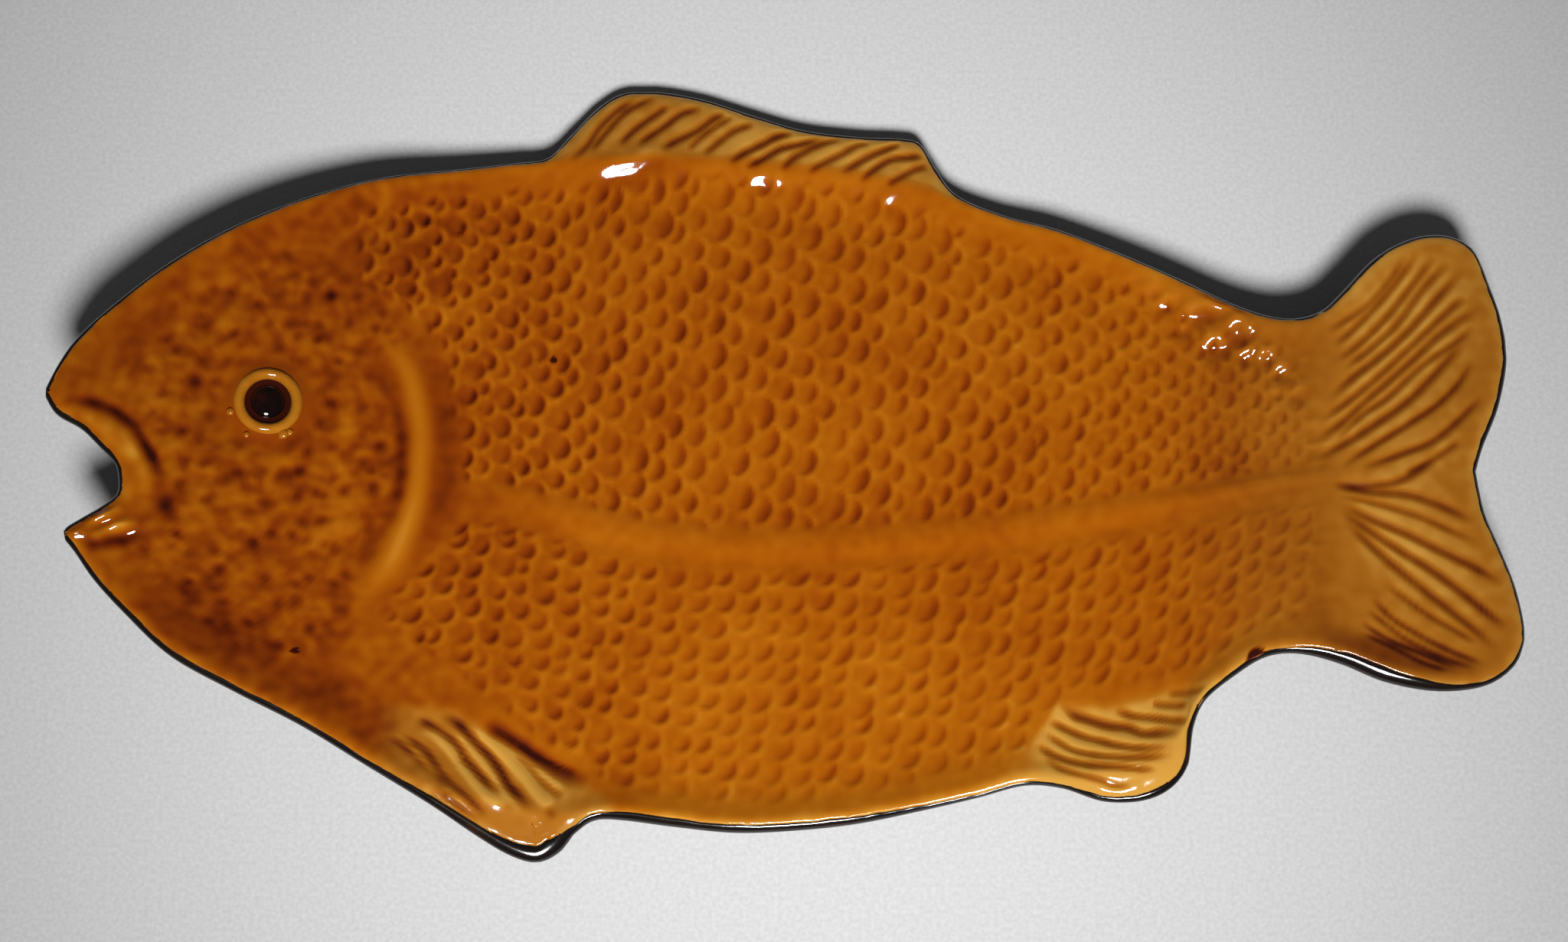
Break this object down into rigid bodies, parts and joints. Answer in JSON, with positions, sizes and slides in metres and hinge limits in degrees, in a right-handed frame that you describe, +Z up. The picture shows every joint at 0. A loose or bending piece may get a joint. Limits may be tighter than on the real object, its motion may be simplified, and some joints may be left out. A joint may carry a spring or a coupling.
{
  "type": "fish shaped platter",
  "caption": "Oval serving platter in the shape of a fish, glazed earthenware with moulded scales, fins and a raised eye ring.",
  "frame": {"origin": "middle of the platter's outline, on the table plane that the foot ring stands on", "axes": "+X towards the tail, +Y towards the back fin, +Z up out of the well"},
  "size_m": [0.4801, 0.269, 0.0496],
  "materials": {
    "clay": "matte",
    "amber_glaze": "gloss",
    "black_glaze": "gloss",
    "pupil_glaze": "gloss"
  },
  "bodies": {
    "root": {"earthenware_body": "clay", "amber_glaze": "amber_glaze", "black_glaze": "black_glaze", "foot_ring": "clay", "eye_ring": "amber_glaze", "eye_pupil": "pupil_glaze"}
  },
  "joints": []
}
